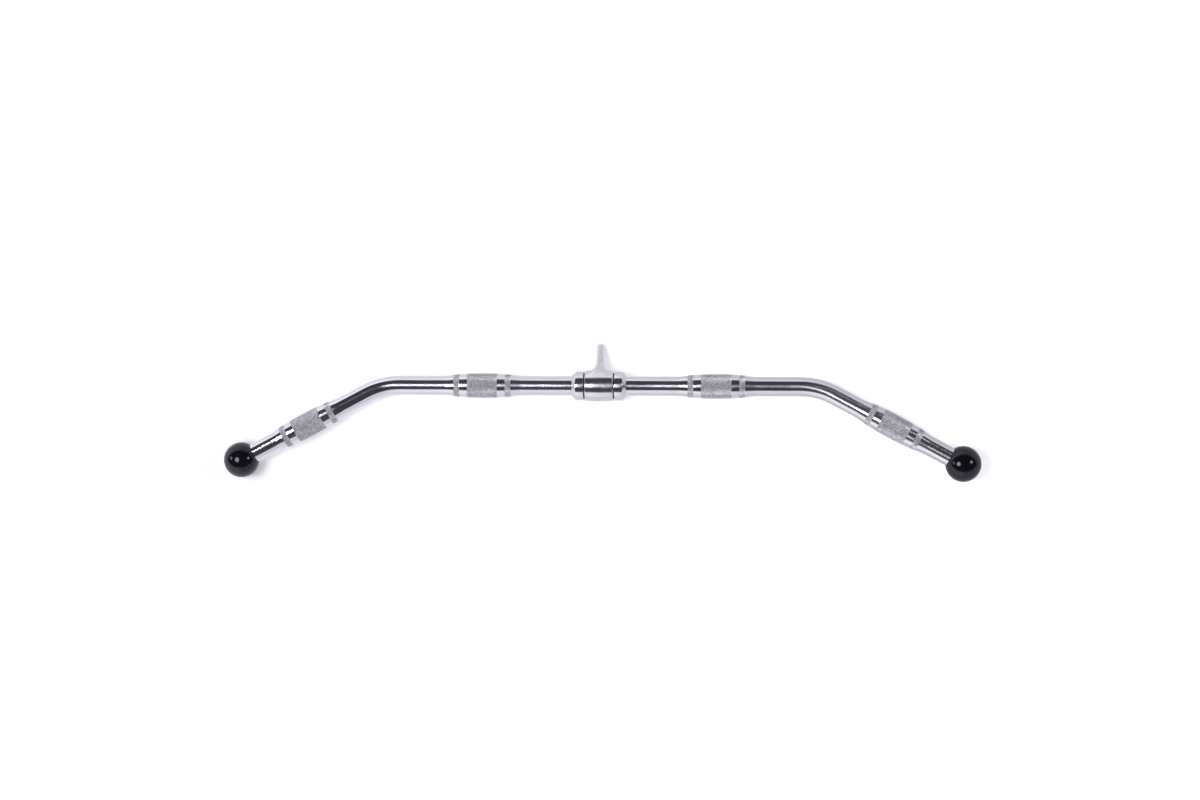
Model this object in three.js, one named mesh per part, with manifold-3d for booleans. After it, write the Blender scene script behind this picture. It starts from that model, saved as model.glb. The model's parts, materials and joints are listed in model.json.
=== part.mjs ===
// Lat pulldown bar: a chromed steel bar, bent down at both ends, that turns freely in a cast hanger.
// The hanger is a short barrel on two flanged bronze bushings, with a flat eye for the cable's hook.
// Two collars, each held by two grub screws, keep the hanger in the middle. A ball closes each end.
// The bar lies on a floor (z = 0) on its two balls and the hanger: +X runs along the bar, +Y points
// to the eye, and the origin is on the floor under the middle of the part's box. Units: millimetres.
import * as THREE from "three";
import { mergeVertices } from "three/addons/utils/BufferGeometryUtils.js";
import Module from "manifold-3d";

const wasm = await Module();
wasm.setup();

// Bar: its stretches are named in order, from the middle outwards
const BAR_DIAMETER = 25;
const PLAIN_BY_COLLAR = 65.5;
const PLAIN_BEFORE_BEND = 56.8;
const BEND_RADIUS = 95;
const BEND_ANGLE = THREE.MathUtils.degToRad(28);
const PLAIN_AFTER_BEND = 34.7;
const PLAIN_BY_BALL = 30.2;
const BAR_END_CHAMFER = 1.5;

// Grips: long swells turned on the bar, with a wide knurl between two polished bands and narrow knurls
const GRIP_LENGTH = 100;
const GRIP_RISE = 3;
const WIDE_KNURL = 38.5;
const POLISHED_BAND = 10.3;
const NARROW_KNURL = 7.2;
const KNURL_HEIGHT = 0.25;
const GRIP_CROWN_POWER = 3;
const GRIP_BLEND_POWER = 1.5;

// Clearance left on each side between two pieces that touch or run on each other
const CLEARANCE = 0.3;

// Flanged bushings
const BUSHING_WALL = 2;
const BUSHING_LENGTH = 14;
const FLANGE_RISE = 2.2;
const FLANGE_THICKNESS = 1;

// Hanger: the barrel, and the pointed eye plate that stands on it
const HUB_LENGTH = 36.4;
const HUB_WALL = 3.9;
const HUB_CROWN = 0.75;
const HUB_EDGE_CHAMFER = 0.8;
const EYE_DISTANCE = 34;
const EYE_HOLE_DIAMETER = 12;
const EYE_HOLE_CHAMFER = 0.6;
const EYE_TO_TIP = 17.9;
const TIP_RADIUS = 4.7;
const PLATE_THICKNESS = 7.5;
const PLATE_EDGE_ROUND = 2.8;
const FLARE_LENGTH = 12;
const FLARE_HEIGHT = 9.3;

// Collars and their grub screws
const COLLAR_WALL = 6;
const COLLAR_LENGTH = 10.3;
const COLLAR_CONE_LENGTH = 4.9;
const COLLAR_NOSE_WALL = 1.1;
const COLLAR_EDGE_CHAMFER = 0.4;
const SCREW_DIAMETER = 6;
const SCREW_LENGTH = 5;
const SCREW_CHAMFER = 0.7;
const SOCKET_ACROSS_FLATS = 3;
const SOCKET_DEPTH = 2.6;
const SCREW_SPREAD = THREE.MathUtils.degToRad(45);

// Balls
const BALL_WALL = 10.5;
const BALL_GRIP_DEPTH = 30;

// How finely round shapes are divided
const BAR_SIDES = 24;
const HUB_SIDES = 32;
const SCREW_SIDES = 16;
const SOCKET_SIDES = 6;
const BEND_STEPS = 8;
const BLEND_STEPS = 4;
const ARC_STEPS = 8;
const TIP_ARC_STEPS = 12;
const ROUNDING_STEPS = 3;

// How far a cutter runs past the face that it cuts, and how close vertices are when they are merged
const OVERRUN = 1;
const MERGE_DISTANCE = 1e-4;

// Sizes that follow
const barRadius = BAR_DIAMETER / 2;
const boreRadius = barRadius + CLEARANCE;
const bushingRadius = boreRadius + BUSHING_WALL;
const flangeRadius = bushingRadius + FLANGE_RISE;
const hubBoreRadius = bushingRadius + CLEARANCE;
const hubEndRadius = hubBoreRadius + HUB_WALL;
const hubCrownRadius = hubEndRadius + HUB_CROWN;
const hubHalf = HUB_LENGTH / 2;
const eyeHoleRadius = EYE_HOLE_DIAMETER / 2;
const tipDistance = EYE_DISTANCE + EYE_TO_TIP;
const plateHalf = PLATE_THICKNESS / 2;
const collarRadius = boreRadius + COLLAR_WALL;
const flangeStart = hubHalf + CLEARANCE;
const collarStart = flangeStart + FLANGE_THICKNESS + CLEARANCE;
const collarEnd = collarStart + COLLAR_LENGTH + COLLAR_CONE_LENGTH;
const screwRadius = SCREW_DIAMETER / 2;
const ballRadius = barRadius + BALL_WALL;
const ballMouth = Math.sqrt(ballRadius ** 2 - boreRadius ** 2);

// Stretches along the bar, measured on its centreline before it is bent
const gripHalf = GRIP_LENGTH / 2;
const innerGrip = collarEnd + PLAIN_BY_COLLAR + gripHalf;
const bendStart = innerGrip + gripHalf + PLAIN_BEFORE_BEND;
const bendEnd = bendStart + BEND_RADIUS * BEND_ANGLE;
const outerGrip = bendEnd + PLAIN_AFTER_BEND + gripHalf;
const mouthPlace = outerGrip + gripHalf + PLAIN_BY_BALL;
const barEnd = mouthPlace + BALL_GRIP_DEPTH;
const ballPlace = mouthPlace + ballMouth;

// Materials
const chrome = new THREE.MeshStandardMaterial({ color: 0xd8d9de, roughness: 0.12, metalness: 1 });
const castChrome = new THREE.MeshStandardMaterial({ color: 0xd3d4da, roughness: 0.18, metalness: 1 });
const bronze = new THREE.MeshStandardMaterial({ color: 0x9c6f43, roughness: 0.45, metalness: 1 });
const blackSteel = new THREE.MeshStandardMaterial({ color: 0x2a2a2d, roughness: 0.5, metalness: 0.8 });
const blackPlastic = new THREE.MeshStandardMaterial({ color: 0x0d0d10, roughness: 0.22, metalness: 0 });

// A closed geometry as a solid that can be joined or cut, and a solid as a geometry
function toSolid(geometry) {
  const bare = geometry.clone();
  bare.deleteAttribute("normal");
  bare.deleteAttribute("uv");
  const merged = mergeVertices(bare, MERGE_DISTANCE);
  const vertProperties = merged.attributes.position.array;
  const triVerts = new Uint32Array(merged.index.array);
  return new wasm.Manifold(new wasm.Mesh({ numProp: 3, vertProperties, triVerts }));
}

function toGeometry(solid) {
  const mesh = solid.getMesh();
  const geometry = new THREE.BufferGeometry();
  geometry.setAttribute("position", new THREE.BufferAttribute(mesh.vertProperties, 3));
  geometry.setIndex(new THREE.BufferAttribute(mesh.triVerts, 1));
  const flat = geometry.toNonIndexed();
  flat.computeVertexNormals();
  return flat;
}

// A solid of revolution about X, from a closed profile of [along X, radius] points
function turned(profile, sides) {
  const points = profile.map(([along, radius]) => new THREE.Vector2(radius, along));
  const geometry = new THREE.LatheGeometry(points, sides);
  return geometry.rotateZ(-Math.PI / 2);
}

// Points of an arc or ellipse quarter, from one angle to another, both ends included
function arcPoints(centreAlong, centreRadius, halfAlong, halfRadius, from, to, steps) {
  const points = [];
  for (let i = 0; i <= steps; i += 1) {
    const angle = from + ((to - from) * i) / steps;
    points.push([
      centreAlong + halfAlong * Math.cos(angle),
      centreRadius + halfRadius * Math.sin(angle),
    ]);
  }
  return points;
}

function mirrored(half) {
  return half.map(([along, radius]) => [-along, radius]).reverse();
}

// Bar: turned straight, with its grips, and then bent

// How far a grip stands above the plain bar at a distance from the grip's middle
function gripRise(distance) {
  const share = Math.min(Math.abs(distance) / gripHalf, 1);
  return GRIP_RISE * (1 - share ** GRIP_CROWN_POWER) ** GRIP_BLEND_POWER;
}

// Half of a grip's profile, as [distance from its middle, radius], with its knurls standing proud
function halfGrip() {
  const knurlEdge = WIDE_KNURL / 2;
  const narrowStart = knurlEdge + POLISHED_BAND;
  const narrowEnd = narrowStart + NARROW_KNURL;
  const plain = (distance) => [distance, barRadius + gripRise(distance)];
  const knurled = (distance) => [distance, barRadius + gripRise(distance) + KNURL_HEIGHT];
  const points = [
    knurled(knurlEdge),
    plain(knurlEdge),
    plain(narrowStart),
    knurled(narrowStart),
    knurled(narrowEnd),
    plain(narrowEnd),
  ];
  for (let i = 1; i <= BLEND_STEPS; i += 1) {
    points.push(plain(narrowEnd + ((gripHalf - narrowEnd) * i) / BLEND_STEPS));
  }
  return points;
}

function gripProfile(place) {
  const half = halfGrip();
  const middle = [0, barRadius + gripRise(0) + KNURL_HEIGHT];
  return [...mirrored(half), middle, ...half].map(([distance, radius]) => [place + distance, radius]);
}

function bendStations() {
  const stations = [];
  for (let i = 0; i <= BEND_STEPS; i += 1) {
    stations.push([bendStart + ((bendEnd - bendStart) * i) / BEND_STEPS, barRadius]);
  }
  return stations;
}

// The centreline at a distance from the middle: where it is, and how far it has turned down
function centreline(distance) {
  const turn = THREE.MathUtils.clamp((distance - bendStart) / BEND_RADIUS, 0, BEND_ANGLE);
  const straight = Math.min(distance, bendStart);
  const arm = Math.max(distance - bendEnd, 0);
  return {
    x: straight + BEND_RADIUS * Math.sin(turn) + arm * Math.cos(turn),
    y: -BEND_RADIUS * (1 - Math.cos(turn)) - arm * Math.sin(turn),
    turn,
  };
}

function bend(geometry) {
  const position = geometry.attributes.position;
  for (let i = 0; i < position.count; i += 1) {
    const along = position.getX(i);
    const side = Math.sign(along);
    const offset = position.getY(i);
    const { x, y, turn } = centreline(Math.abs(along));
    position.setX(i, side * (x + offset * Math.sin(turn)));
    position.setY(i, y + offset * Math.cos(turn));
  }
  geometry.computeVertexNormals();
  return geometry;
}

function barGeometry() {
  const half = [
    ...gripProfile(innerGrip),
    ...bendStations(),
    ...gripProfile(outerGrip),
    [barEnd - BAR_END_CHAMFER, barRadius],
    [barEnd, barRadius - BAR_END_CHAMFER],
    [barEnd, 0],
  ];
  return bend(turned([...mirrored(half), ...half], BAR_SIDES));
}

// Ball end: a round knob with a blind bore that is pushed over the bar's end, its mouth towards -X
function ballGeometry() {
  const boreEnd = -ballMouth + BALL_GRIP_DEPTH + CLEARANCE;
  const mouthAngle = Math.acos(-ballMouth / ballRadius);
  const quarter = Math.PI / 2;
  return turned(
    [
      [boreEnd, 0],
      [boreEnd, boreRadius],
      ...arcPoints(0, 0, ballRadius, ballRadius, mouthAngle, quarter, ARC_STEPS / 2),
      ...arcPoints(0, 0, ballRadius, ballRadius, quarter, 0, ARC_STEPS).slice(1, -1),
      [ballRadius, 0],
    ],
    BAR_SIDES,
  );
}

// Flanged bushing: pressed into the barrel from its end, with its flange outside, towards +X
function bushingGeometry() {
  const sleeveStart = hubHalf - BUSHING_LENGTH;
  const flangeEnd = flangeStart + FLANGE_THICKNESS;
  return turned(
    [
      [sleeveStart, boreRadius],
      [sleeveStart, bushingRadius],
      [flangeStart, bushingRadius],
      [flangeStart, flangeRadius],
      [flangeEnd, flangeRadius],
      [flangeEnd, boreRadius],
      [sleeveStart, boreRadius],
    ],
    HUB_SIDES,
  );
}

// Hanger: a crowned barrel and an eye plate, cast as one, with flares where the plate meets the barrel
function barrelGeometry() {
  const half = [];
  for (let i = 1; i <= ARC_STEPS / 2; i += 1) {
    const share = i / (ARC_STEPS / 2);
    half.push([
      (hubHalf - HUB_EDGE_CHAMFER) * share,
      hubEndRadius + HUB_CROWN * (1 - share ** 2),
    ]);
  }
  half.push([hubHalf, hubEndRadius - HUB_EDGE_CHAMFER]);
  half.push([hubHalf, 0]);
  return turned([...mirrored(half), [0, hubCrownRadius], ...half], HUB_SIDES);
}

// One ring of the plate's outline in the YZ plane, from below the tip round to above it. Its straight
// sides are tangent to the barrel's ends and to the tip's arc. A negative rise draws the ring in.
function plateRing(along, rise) {
  const lean = Math.asin((hubEndRadius - TIP_RADIUS) / tipDistance);
  const tipAngle = Math.PI / 2 - lean;
  const root = hubEndRadius + rise;
  const tip = TIP_RADIUS + rise;
  const ring = [
    [root * Math.sin(lean), -root * Math.cos(lean)],
    ...arcPoints(tipDistance, 0, tip, tip, -tipAngle, tipAngle, TIP_ARC_STEPS),
    [root * Math.sin(lean), root * Math.cos(lean)],
  ];
  return ring.map(([forward, up]) => [along, forward, up]);
}

// A closed solid through rings of points along +X. Each ring is convex and has as many points.
function lofted(rings) {
  const count = rings[0].length;
  const last = (rings.length - 1) * count;
  const index = [];
  for (let start = 0; start < last; start += count) {
    for (let i = 0; i < count; i += 1) {
      const a = start + i;
      const b = start + ((i + 1) % count);
      index.push(a, b, b + count, a, b + count, a + count);
    }
  }
  for (let i = 1; i < count - 1; i += 1) {
    index.push(0, i + 1, i, last, last + i, last + i + 1);
  }
  const geometry = new THREE.BufferGeometry();
  geometry.setAttribute("position", new THREE.Float32BufferAttribute(rings.flat(2), 3));
  return geometry.setIndex(index);
}

// The plate at a thickness, with the edges of its faces rounded or left square
function plateGeometry(thickness, rounding) {
  const half = thickness / 2;
  const foot = half - rounding;
  const round = arcPoints(foot, -rounding, rounding, rounding, Math.PI / 2, 0, ROUNDING_STEPS);
  const edge = rounding > 0 ? round : [[half, 0]];
  return lofted([...mirrored(edge), ...edge].map(([along, rise]) => plateRing(along, rise)));
}

function flareGeometry() {
  const foot = plateHalf + FLARE_LENGTH;
  const top = hubEndRadius + FLARE_HEIGHT;
  const half = arcPoints(foot, top, FLARE_LENGTH, FLARE_HEIGHT, Math.PI, 1.5 * Math.PI, ARC_STEPS);
  return turned([...mirrored([...half, [foot, 0]]), ...half, [foot, 0]], HUB_SIDES);
}

function eyeCutter() {
  const bottom = plateHalf - EYE_HOLE_CHAMFER;
  const top = plateHalf + OVERRUN;
  const half = [
    [bottom, eyeHoleRadius],
    [top, eyeHoleRadius + EYE_HOLE_CHAMFER + OVERRUN],
    [top, 0],
  ];
  return turned([...mirrored(half), ...half], HUB_SIDES).translate(0, EYE_DISTANCE, 0);
}

function hangerGeometry() {
  const flare = toSolid(flareGeometry()).intersect(toSolid(plateGeometry(HUB_LENGTH, 0)));
  const plate = toSolid(plateGeometry(PLATE_THICKNESS, PLATE_EDGE_ROUND));
  const cast = toSolid(barrelGeometry()).add(plate).add(flare);
  const reach = hubHalf + OVERRUN;
  const bore = turned([[-reach, 0], [-reach, hubBoreRadius], [reach, hubBoreRadius], [reach, 0]], HUB_SIDES);
  return toGeometry(cast.subtract(toSolid(bore)).subtract(toSolid(eyeCutter())));
}

// Collar: a stop ring with a cone on its outer side, towards +X, and two radial screw holes
function screwHole(turn) {
  const reach = collarRadius + OVERRUN;
  const hole = turned([[0, 0], [0, screwRadius + CLEARANCE], [reach, screwRadius + CLEARANCE], [reach, 0]],
    SCREW_SIDES);
  return toSolid(hole.rotateY(Math.PI / 2).rotateX(turn).translate(collarStart + COLLAR_LENGTH / 2, 0, 0));
}

function collarGeometry() {
  const coneStart = collarStart + COLLAR_LENGTH;
  const ring = turned(
    [
      [collarStart, boreRadius],
      [collarStart, collarRadius - COLLAR_EDGE_CHAMFER],
      [collarStart + COLLAR_EDGE_CHAMFER, collarRadius],
      [coneStart, collarRadius],
      [collarEnd, boreRadius + COLLAR_NOSE_WALL],
      [collarEnd, boreRadius],
      [collarStart, boreRadius],
    ],
    HUB_SIDES,
  );
  return toGeometry(toSolid(ring).subtract(screwHole(SCREW_SPREAD)).subtract(screwHole(-SCREW_SPREAD)));
}

// Grub screw: its point on the bar, its hexagon socket outwards, towards +X before it is turned down
function screwGeometry() {
  const start = boreRadius;
  const end = start + SCREW_LENGTH;
  const body = turned(
    [
      [start, 0],
      [start, screwRadius - SCREW_CHAMFER],
      [start + SCREW_CHAMFER, screwRadius],
      [end - SCREW_CHAMFER, screwRadius],
      [end, screwRadius - SCREW_CHAMFER],
      [end, 0],
    ],
    SCREW_SIDES,
  );
  const corner = SOCKET_ACROSS_FLATS / 2 / Math.cos(Math.PI / SOCKET_SIDES);
  const floor = end - SOCKET_DEPTH;
  const top = end + OVERRUN;
  const socket = turned([[floor, 0], [floor, corner], [top, corner], [top, 0]], SOCKET_SIDES);
  return toGeometry(toSolid(body).subtract(toSolid(socket)));
}

function named(name, geometry, material) {
  const mesh = new THREE.Mesh(geometry, material);
  mesh.name = name;
  return mesh;
}

// A piece made for the right side, turned half round on the floor for the left side
function forSide(mesh, side) {
  mesh.rotation.z = side > 0 ? 0 : Math.PI;
  return mesh;
}

// How the part lies: the widest round in the middle and the balls touch the floor, and so does the tip
const restRadius = Math.max(hubCrownRadius, collarRadius);
const ballDrop = -centreline(ballPlace).y;
const barTilt = Math.asin((ballRadius - restRadius) / ballDrop);
const tipDroop = Math.asin((restRadius - TIP_RADIUS) / tipDistance);
const reachToTip = tipDistance * Math.cos(tipDroop) + TIP_RADIUS;
const reachToBalls = ballDrop * Math.cos(barTilt) + ballRadius;

const swivelAxis = new THREE.Group();
swivelAxis.position.set(0, (reachToBalls - reachToTip) / 2, restRadius);

// What turns together with the bar
const barGroup = new THREE.Group();
barGroup.rotation.x = -barTilt;
barGroup.add(named("bar", barGeometry(), chrome));

// What turns together with the hanger
const hangerGroup = new THREE.Group();
hangerGroup.rotation.x = -tipDroop;
hangerGroup.add(named("swivel_hanger", hangerGeometry(), castChrome));

for (const [sideName, side] of [["left", -1], ["right", 1]]) {
  const end = centreline(ballPlace);
  const ball = named(`ball_end_${sideName}`, ballGeometry(), blackPlastic);
  ball.position.set(side * end.x, end.y, 0);
  ball.rotation.z = side > 0 ? -end.turn : Math.PI + end.turn;
  barGroup.add(ball);
  barGroup.add(forSide(named(`collar_${sideName}`, collarGeometry(), chrome), side));
  hangerGroup.add(forSide(named(`bushing_${sideName}`, bushingGeometry(), bronze), side));
  for (const [screwName, turn] of [["front", -SCREW_SPREAD], ["back", SCREW_SPREAD]]) {
    const screw = named(`grub_screw_${sideName}_${screwName}`, screwGeometry(), blackSteel);
    screw.position.x = side * (collarStart + COLLAR_LENGTH / 2);
    screw.rotation.set(turn, Math.PI / 2, 0);
    barGroup.add(screw);
  }
}

swivelAxis.add(barGroup, hangerGroup);
const latBar = new THREE.Group();
latBar.add(swivelAxis);

export default latBar;
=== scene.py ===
# %% [markdown]
# # A lat pulldown bar
# This lesson dresses the machine shop's model of a lat pulldown bar: a bent, chromed steel bar that
# turns in a cast hanger, with a black ball on each end. The frame says where every piece is. Each step
# below first says what the real piece is and how it could be made, and then makes it.

# %% Load the frame
import json
import math

import bmesh
import bpy
import numpy as np
from mathutils import Matrix, Vector, noise


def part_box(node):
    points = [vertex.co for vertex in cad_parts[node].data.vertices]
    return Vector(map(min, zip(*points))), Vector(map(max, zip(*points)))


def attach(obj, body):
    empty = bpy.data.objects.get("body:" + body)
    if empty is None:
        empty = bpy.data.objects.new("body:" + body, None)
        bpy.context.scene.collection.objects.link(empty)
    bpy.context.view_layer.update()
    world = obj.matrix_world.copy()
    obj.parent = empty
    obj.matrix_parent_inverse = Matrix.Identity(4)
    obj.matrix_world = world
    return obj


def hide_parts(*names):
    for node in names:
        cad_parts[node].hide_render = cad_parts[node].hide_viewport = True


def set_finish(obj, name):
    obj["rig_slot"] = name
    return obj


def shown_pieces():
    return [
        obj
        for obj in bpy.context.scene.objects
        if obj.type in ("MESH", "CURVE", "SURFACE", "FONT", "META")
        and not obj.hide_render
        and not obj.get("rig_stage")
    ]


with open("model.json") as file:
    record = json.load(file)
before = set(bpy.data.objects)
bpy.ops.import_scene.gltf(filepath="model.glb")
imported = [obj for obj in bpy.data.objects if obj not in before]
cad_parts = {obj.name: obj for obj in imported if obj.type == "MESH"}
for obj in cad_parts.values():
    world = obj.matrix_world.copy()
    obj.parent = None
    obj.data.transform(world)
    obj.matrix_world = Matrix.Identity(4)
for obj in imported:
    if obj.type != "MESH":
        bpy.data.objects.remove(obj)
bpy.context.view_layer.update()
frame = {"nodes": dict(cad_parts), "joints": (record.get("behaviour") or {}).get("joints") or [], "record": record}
print("nodes:", sorted(frame["nodes"]))

# %% [markdown]
# ## Places and sizes
# The frame works in metres and a workshop in millimetres, so sizes are written as a number of MM.
# What the frame holds is read from it: the swivel's axis, the boxes of balls, collars and barrel, and
# the eye's mount. The bar lies tilted, because its balls are thicker than its hanger, and the eye has
# dropped until it touches the floor.

# %% Read the places from the frame
MM = 0.001
axis_point = Vector(frame["joints"][0]["pos_m"])


def middle(node):
    low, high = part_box(node)
    return (low + high) / 2


def extent(node):
    low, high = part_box(node)
    return high - low


ball_centre = middle("ball_end_right")
ball_radius = extent("ball_end_right").z / 2
ball_drop = math.hypot(axis_point.y - ball_centre.y, ball_centre.z - axis_point.z)
bar_tilt = math.asin((ball_centre.z - axis_point.z) / ball_drop)
collar_start, collar_end = (corner.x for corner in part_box("collar_right"))
collar_radius = extent("collar_right").z / 2
hub_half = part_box("swivel_hanger")[1].x
flange_radius = extent("bushing_right").z / 2
sleeve_start, flange_end = (corner.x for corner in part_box("bushing_right"))
eye_face = next(m for m in frame["record"]["mounts"] if m["name"] == "eye_face_right")
eye_point = Vector(eye_face["pos_m"])
eye_droop = math.atan2(axis_point.z - eye_point.z, eye_point.y - axis_point.y)
eye_half = eye_point.x

to_bar = Matrix.Translation(axis_point) @ Matrix.Rotation(-bar_tilt, 4, "X")
to_hanger = Matrix.Translation(axis_point) @ Matrix.Rotation(-eye_droop, 4, "X")
print(f"tilt {math.degrees(bar_tilt):.2f} deg, eye droop {math.degrees(eye_droop):.2f} deg")
print(f"ball radius {ball_radius / MM:.1f} mm, hub half length {hub_half / MM:.1f} mm")

# %% [markdown]
# ## Meshes of revolution
# Nearly every piece comes off a lathe, so one function turns a profile, which is a list of points
# (along X, radius), about X. Real edges are never knife-sharp, so another rounds a profile's corners
# with small arcs first: those slim edges catch the light as the real ones do.

# %% Turn a profile
ARC_STEPS = 4


def rounded(points, radius):
    """The same profile, with each inner corner replaced by an arc of about that radius."""
    corners = [Vector(p) for p in points]
    result = [tuple(corners[0])]
    for before, corner, after in zip(corners, corners[1:], corners[2:]):
        back = (before - corner).normalized()
        ahead = (after - corner).normalized()
        reach = min(radius, (before - corner).length / 2, (after - corner).length / 2)
        start = corner + back * reach
        end = corner + ahead * reach
        for i in range(ARC_STEPS + 1):
            share = i / ARC_STEPS
            first = start.lerp(corner, share)
            second = corner.lerp(end, share)
            result.append(tuple(first.lerp(second, share)))
    result.append(tuple(corners[-1]))
    return result


def revolved(profile, sides, closed=False):
    """Vertices and faces of a profile turned about X. A point at radius 0 becomes a pole."""
    rings = []
    vertices = []
    for along, radius in profile[:-1] if closed else profile:
        if radius <= 0:
            rings.append([len(vertices)] * sides)
            vertices.append((along, 0, 0))
            continue
        rings.append(list(range(len(vertices), len(vertices) + sides)))
        for k in range(sides):
            angle = math.tau * k / sides
            vertices.append((along, radius * math.cos(angle), radius * math.sin(angle)))
    pairs = list(zip(rings, rings[1:]))
    if closed:
        pairs.append((rings[-1], rings[0]))
    faces = []
    for ring, following in pairs:
        for k in range(sides):
            n = (k + 1) % sides
            face = [ring[k], ring[n], following[n], following[k]]
            faces.append(list(dict.fromkeys(face)))
    return vertices, faces


# %% [markdown]
# ## From mesh to piece
# A mesh becomes a piece when its faces all point outwards, its round faces are smooth and its corners
# sharp, and it is linked into the scene. Holes are cut with Blender's exact boolean.

# %% Make and cut pieces
SMOOTH_ANGLE = math.radians(32)


def face_outwards(mesh):
    """Points all faces outwards and smooths them, except over sharp edges."""
    work = bmesh.new()
    work.from_mesh(mesh)
    bmesh.ops.recalc_face_normals(work, faces=work.faces)
    work.to_mesh(mesh)
    work.free()
    mesh.shade_smooth()
    mesh.set_sharp_from_angle(angle=SMOOTH_ANGLE)


def linked(name, mesh):
    """An object in the scene that shows a mesh."""
    piece = bpy.data.objects.new(name, mesh)
    bpy.context.scene.collection.objects.link(piece)
    print(f"{name}: {len(mesh.polygons)} faces")
    return piece


def new_piece(name, vertices, faces, matrix=Matrix()):
    """A piece in the frame's own coordinates, from vertices and faces that a matrix moves there."""
    mesh = bpy.data.meshes.new(name)
    mesh.from_pydata(vertices, [], faces)
    mesh.transform(matrix)
    face_outwards(mesh)
    return linked(name, mesh)


def with_modifiers(piece):
    """Bakes a piece's modifiers into its mesh."""
    graph = bpy.context.evaluated_depsgraph_get()
    mesh = bpy.data.meshes.new_from_object(piece.evaluated_get(graph))
    piece.modifiers.clear()
    piece.data = mesh
    return piece


def cut(piece, *cutters):
    """Cuts the cutters out of a piece and removes them."""
    for cutter in cutters:
        modifier = piece.modifiers.new("cut", "BOOLEAN")
        modifier.operation = "DIFFERENCE"
        modifier.solver = "EXACT"
        modifier.object = cutter
    with_modifiers(piece)
    for cutter in cutters:
        bpy.data.objects.remove(cutter)
    piece.data.set_sharp_from_angle(angle=SMOOTH_ANGLE)
    return piece


# %% [markdown]
# ## Polishing lines
# A belt or a wheel leaves fine lines round a turned piece, and they shape every reflection on it. To
# tell the materials which way the lines run, each polished piece gets a UV map in metres: along the
# piece one way, and round it the other.

# %% Lay the polishing lines
LINES = "polishing_lines"
LINE_RADIUS = 15 * MM


def vertex_points(mesh):
    """The places of a mesh's vertices, one row each."""
    points = np.empty(len(mesh.vertices) * 3)
    mesh.vertices.foreach_get("co", points)
    return points.reshape(-1, 3)


def lay_lines(piece):
    """A UV map along and round a piece that is turned about X. A face never spans the map's seam."""
    mesh = piece.data
    x, y, z = vertex_points(mesh).T
    corners = np.empty(len(mesh.loops), np.int32)
    mesh.loops.foreach_get("vertex_index", corners)
    counts = np.empty(len(mesh.polygons), np.int32)
    mesh.polygons.foreach_get("loop_total", counts)
    angle = np.arctan2(y, z)[corners]
    first = np.repeat(angle[np.cumsum(counts) - counts], counts)
    angle = first + (angle - first + math.pi) % math.tau - math.pi
    along = (2 * x - np.hypot(y, z))[corners]
    layer = mesh.uv_layers.new(name=LINES)
    layer.data.foreach_set("uv", np.stack([along, angle * LINE_RADIUS], -1).astype(np.float32).ravel())


# %% [markdown]
# ## Materials: three helpers
# Colours are written as sRGB hex values, as on a paint chart, and one function turns them to the
# linear values that shaders use. One more adds a node with its settings and links, and a third makes
# a material from a function that describes its surface. A pattern's scale is 1 over the real size of
# its features. A noise seldom leaves the middle of its range, so only that part is used.

# %% Colour and node helpers
NOISE_RANGE = {"From Min": 0.3, "From Max": 0.7}


def linear(hex_colour):
    """A hex sRGB colour as linear RGBA."""
    channels = [int(hex_colour[i : i + 2], 16) / 255 for i in (1, 3, 5)]
    bent = [c / 12.92 if c <= 0.04045 else ((c + 0.055) / 1.055) ** 2.4 for c in channels]
    return (*bent, 1.0)


def add_node(tree, kind, inputs=None, **settings):
    """A shader node. Inputs map a socket to a value, or to the node or output that feeds it."""
    node = tree.nodes.new(f"ShaderNode{kind}")
    for name, value in settings.items():
        setattr(node, name, value)
    for key, value in (inputs or {}).items():
        source = value.outputs[0] if isinstance(value, bpy.types.Node) else value
        if isinstance(source, bpy.types.NodeSocket):
            tree.links.new(source, node.inputs[key])
        else:
            node.inputs[key].default_value = source
    return node


def new_material(name, describe, *details):
    """A material whose surface gets the inputs that a function makes in its node tree."""
    material = bpy.data.materials.new(name)
    material.use_nodes = True
    tree = material.node_tree
    tree.nodes.clear()
    surface = add_node(tree, "BsdfPrincipled", describe(tree, *details))
    add_node(tree, "OutputMaterial", {"Surface": surface})
    print("finish:", name)
    return material


# %% [markdown]
# ## Polished chrome plate
# Bright chromium over nickel on ground steel. It mirrors the room with a slightly cool tint. The
# polishing belt ran round the bar, and its fine lines spread every lamp along the bar into a long
# streak, while across the bar the mirror stays sharp. That is an anisotropic metal: its tangent
# follows the bar's length, from the UV map. The belt did not press evenly, so the roughness, and with
# it the streak, changes along the bar. Soft waves left by grinding bend the streak a little.

# %% What the polishing belt left
BELT_PASS = 11 * MM
BELT_REACH = 60 * MM
BELT_UNEVEN = 0.03
WAVE_ALONG = 26 * MM
WAVE_ROUND = 9 * MM
WAVE_DEPTH = 0.04 * MM


def belt_pattern(tree, lines, along, round_it, detail):
    """A soft pattern whose features are that long along the piece and that wide round it."""
    scale = (1 / along, 1 / round_it, 1 / round_it)
    stretched = add_node(tree, "Mapping", {"Vector": lines, "Scale": scale})
    return add_node(tree, "TexNoise", {"Vector": stretched, "Scale": 1.0, "Detail": detail})


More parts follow.
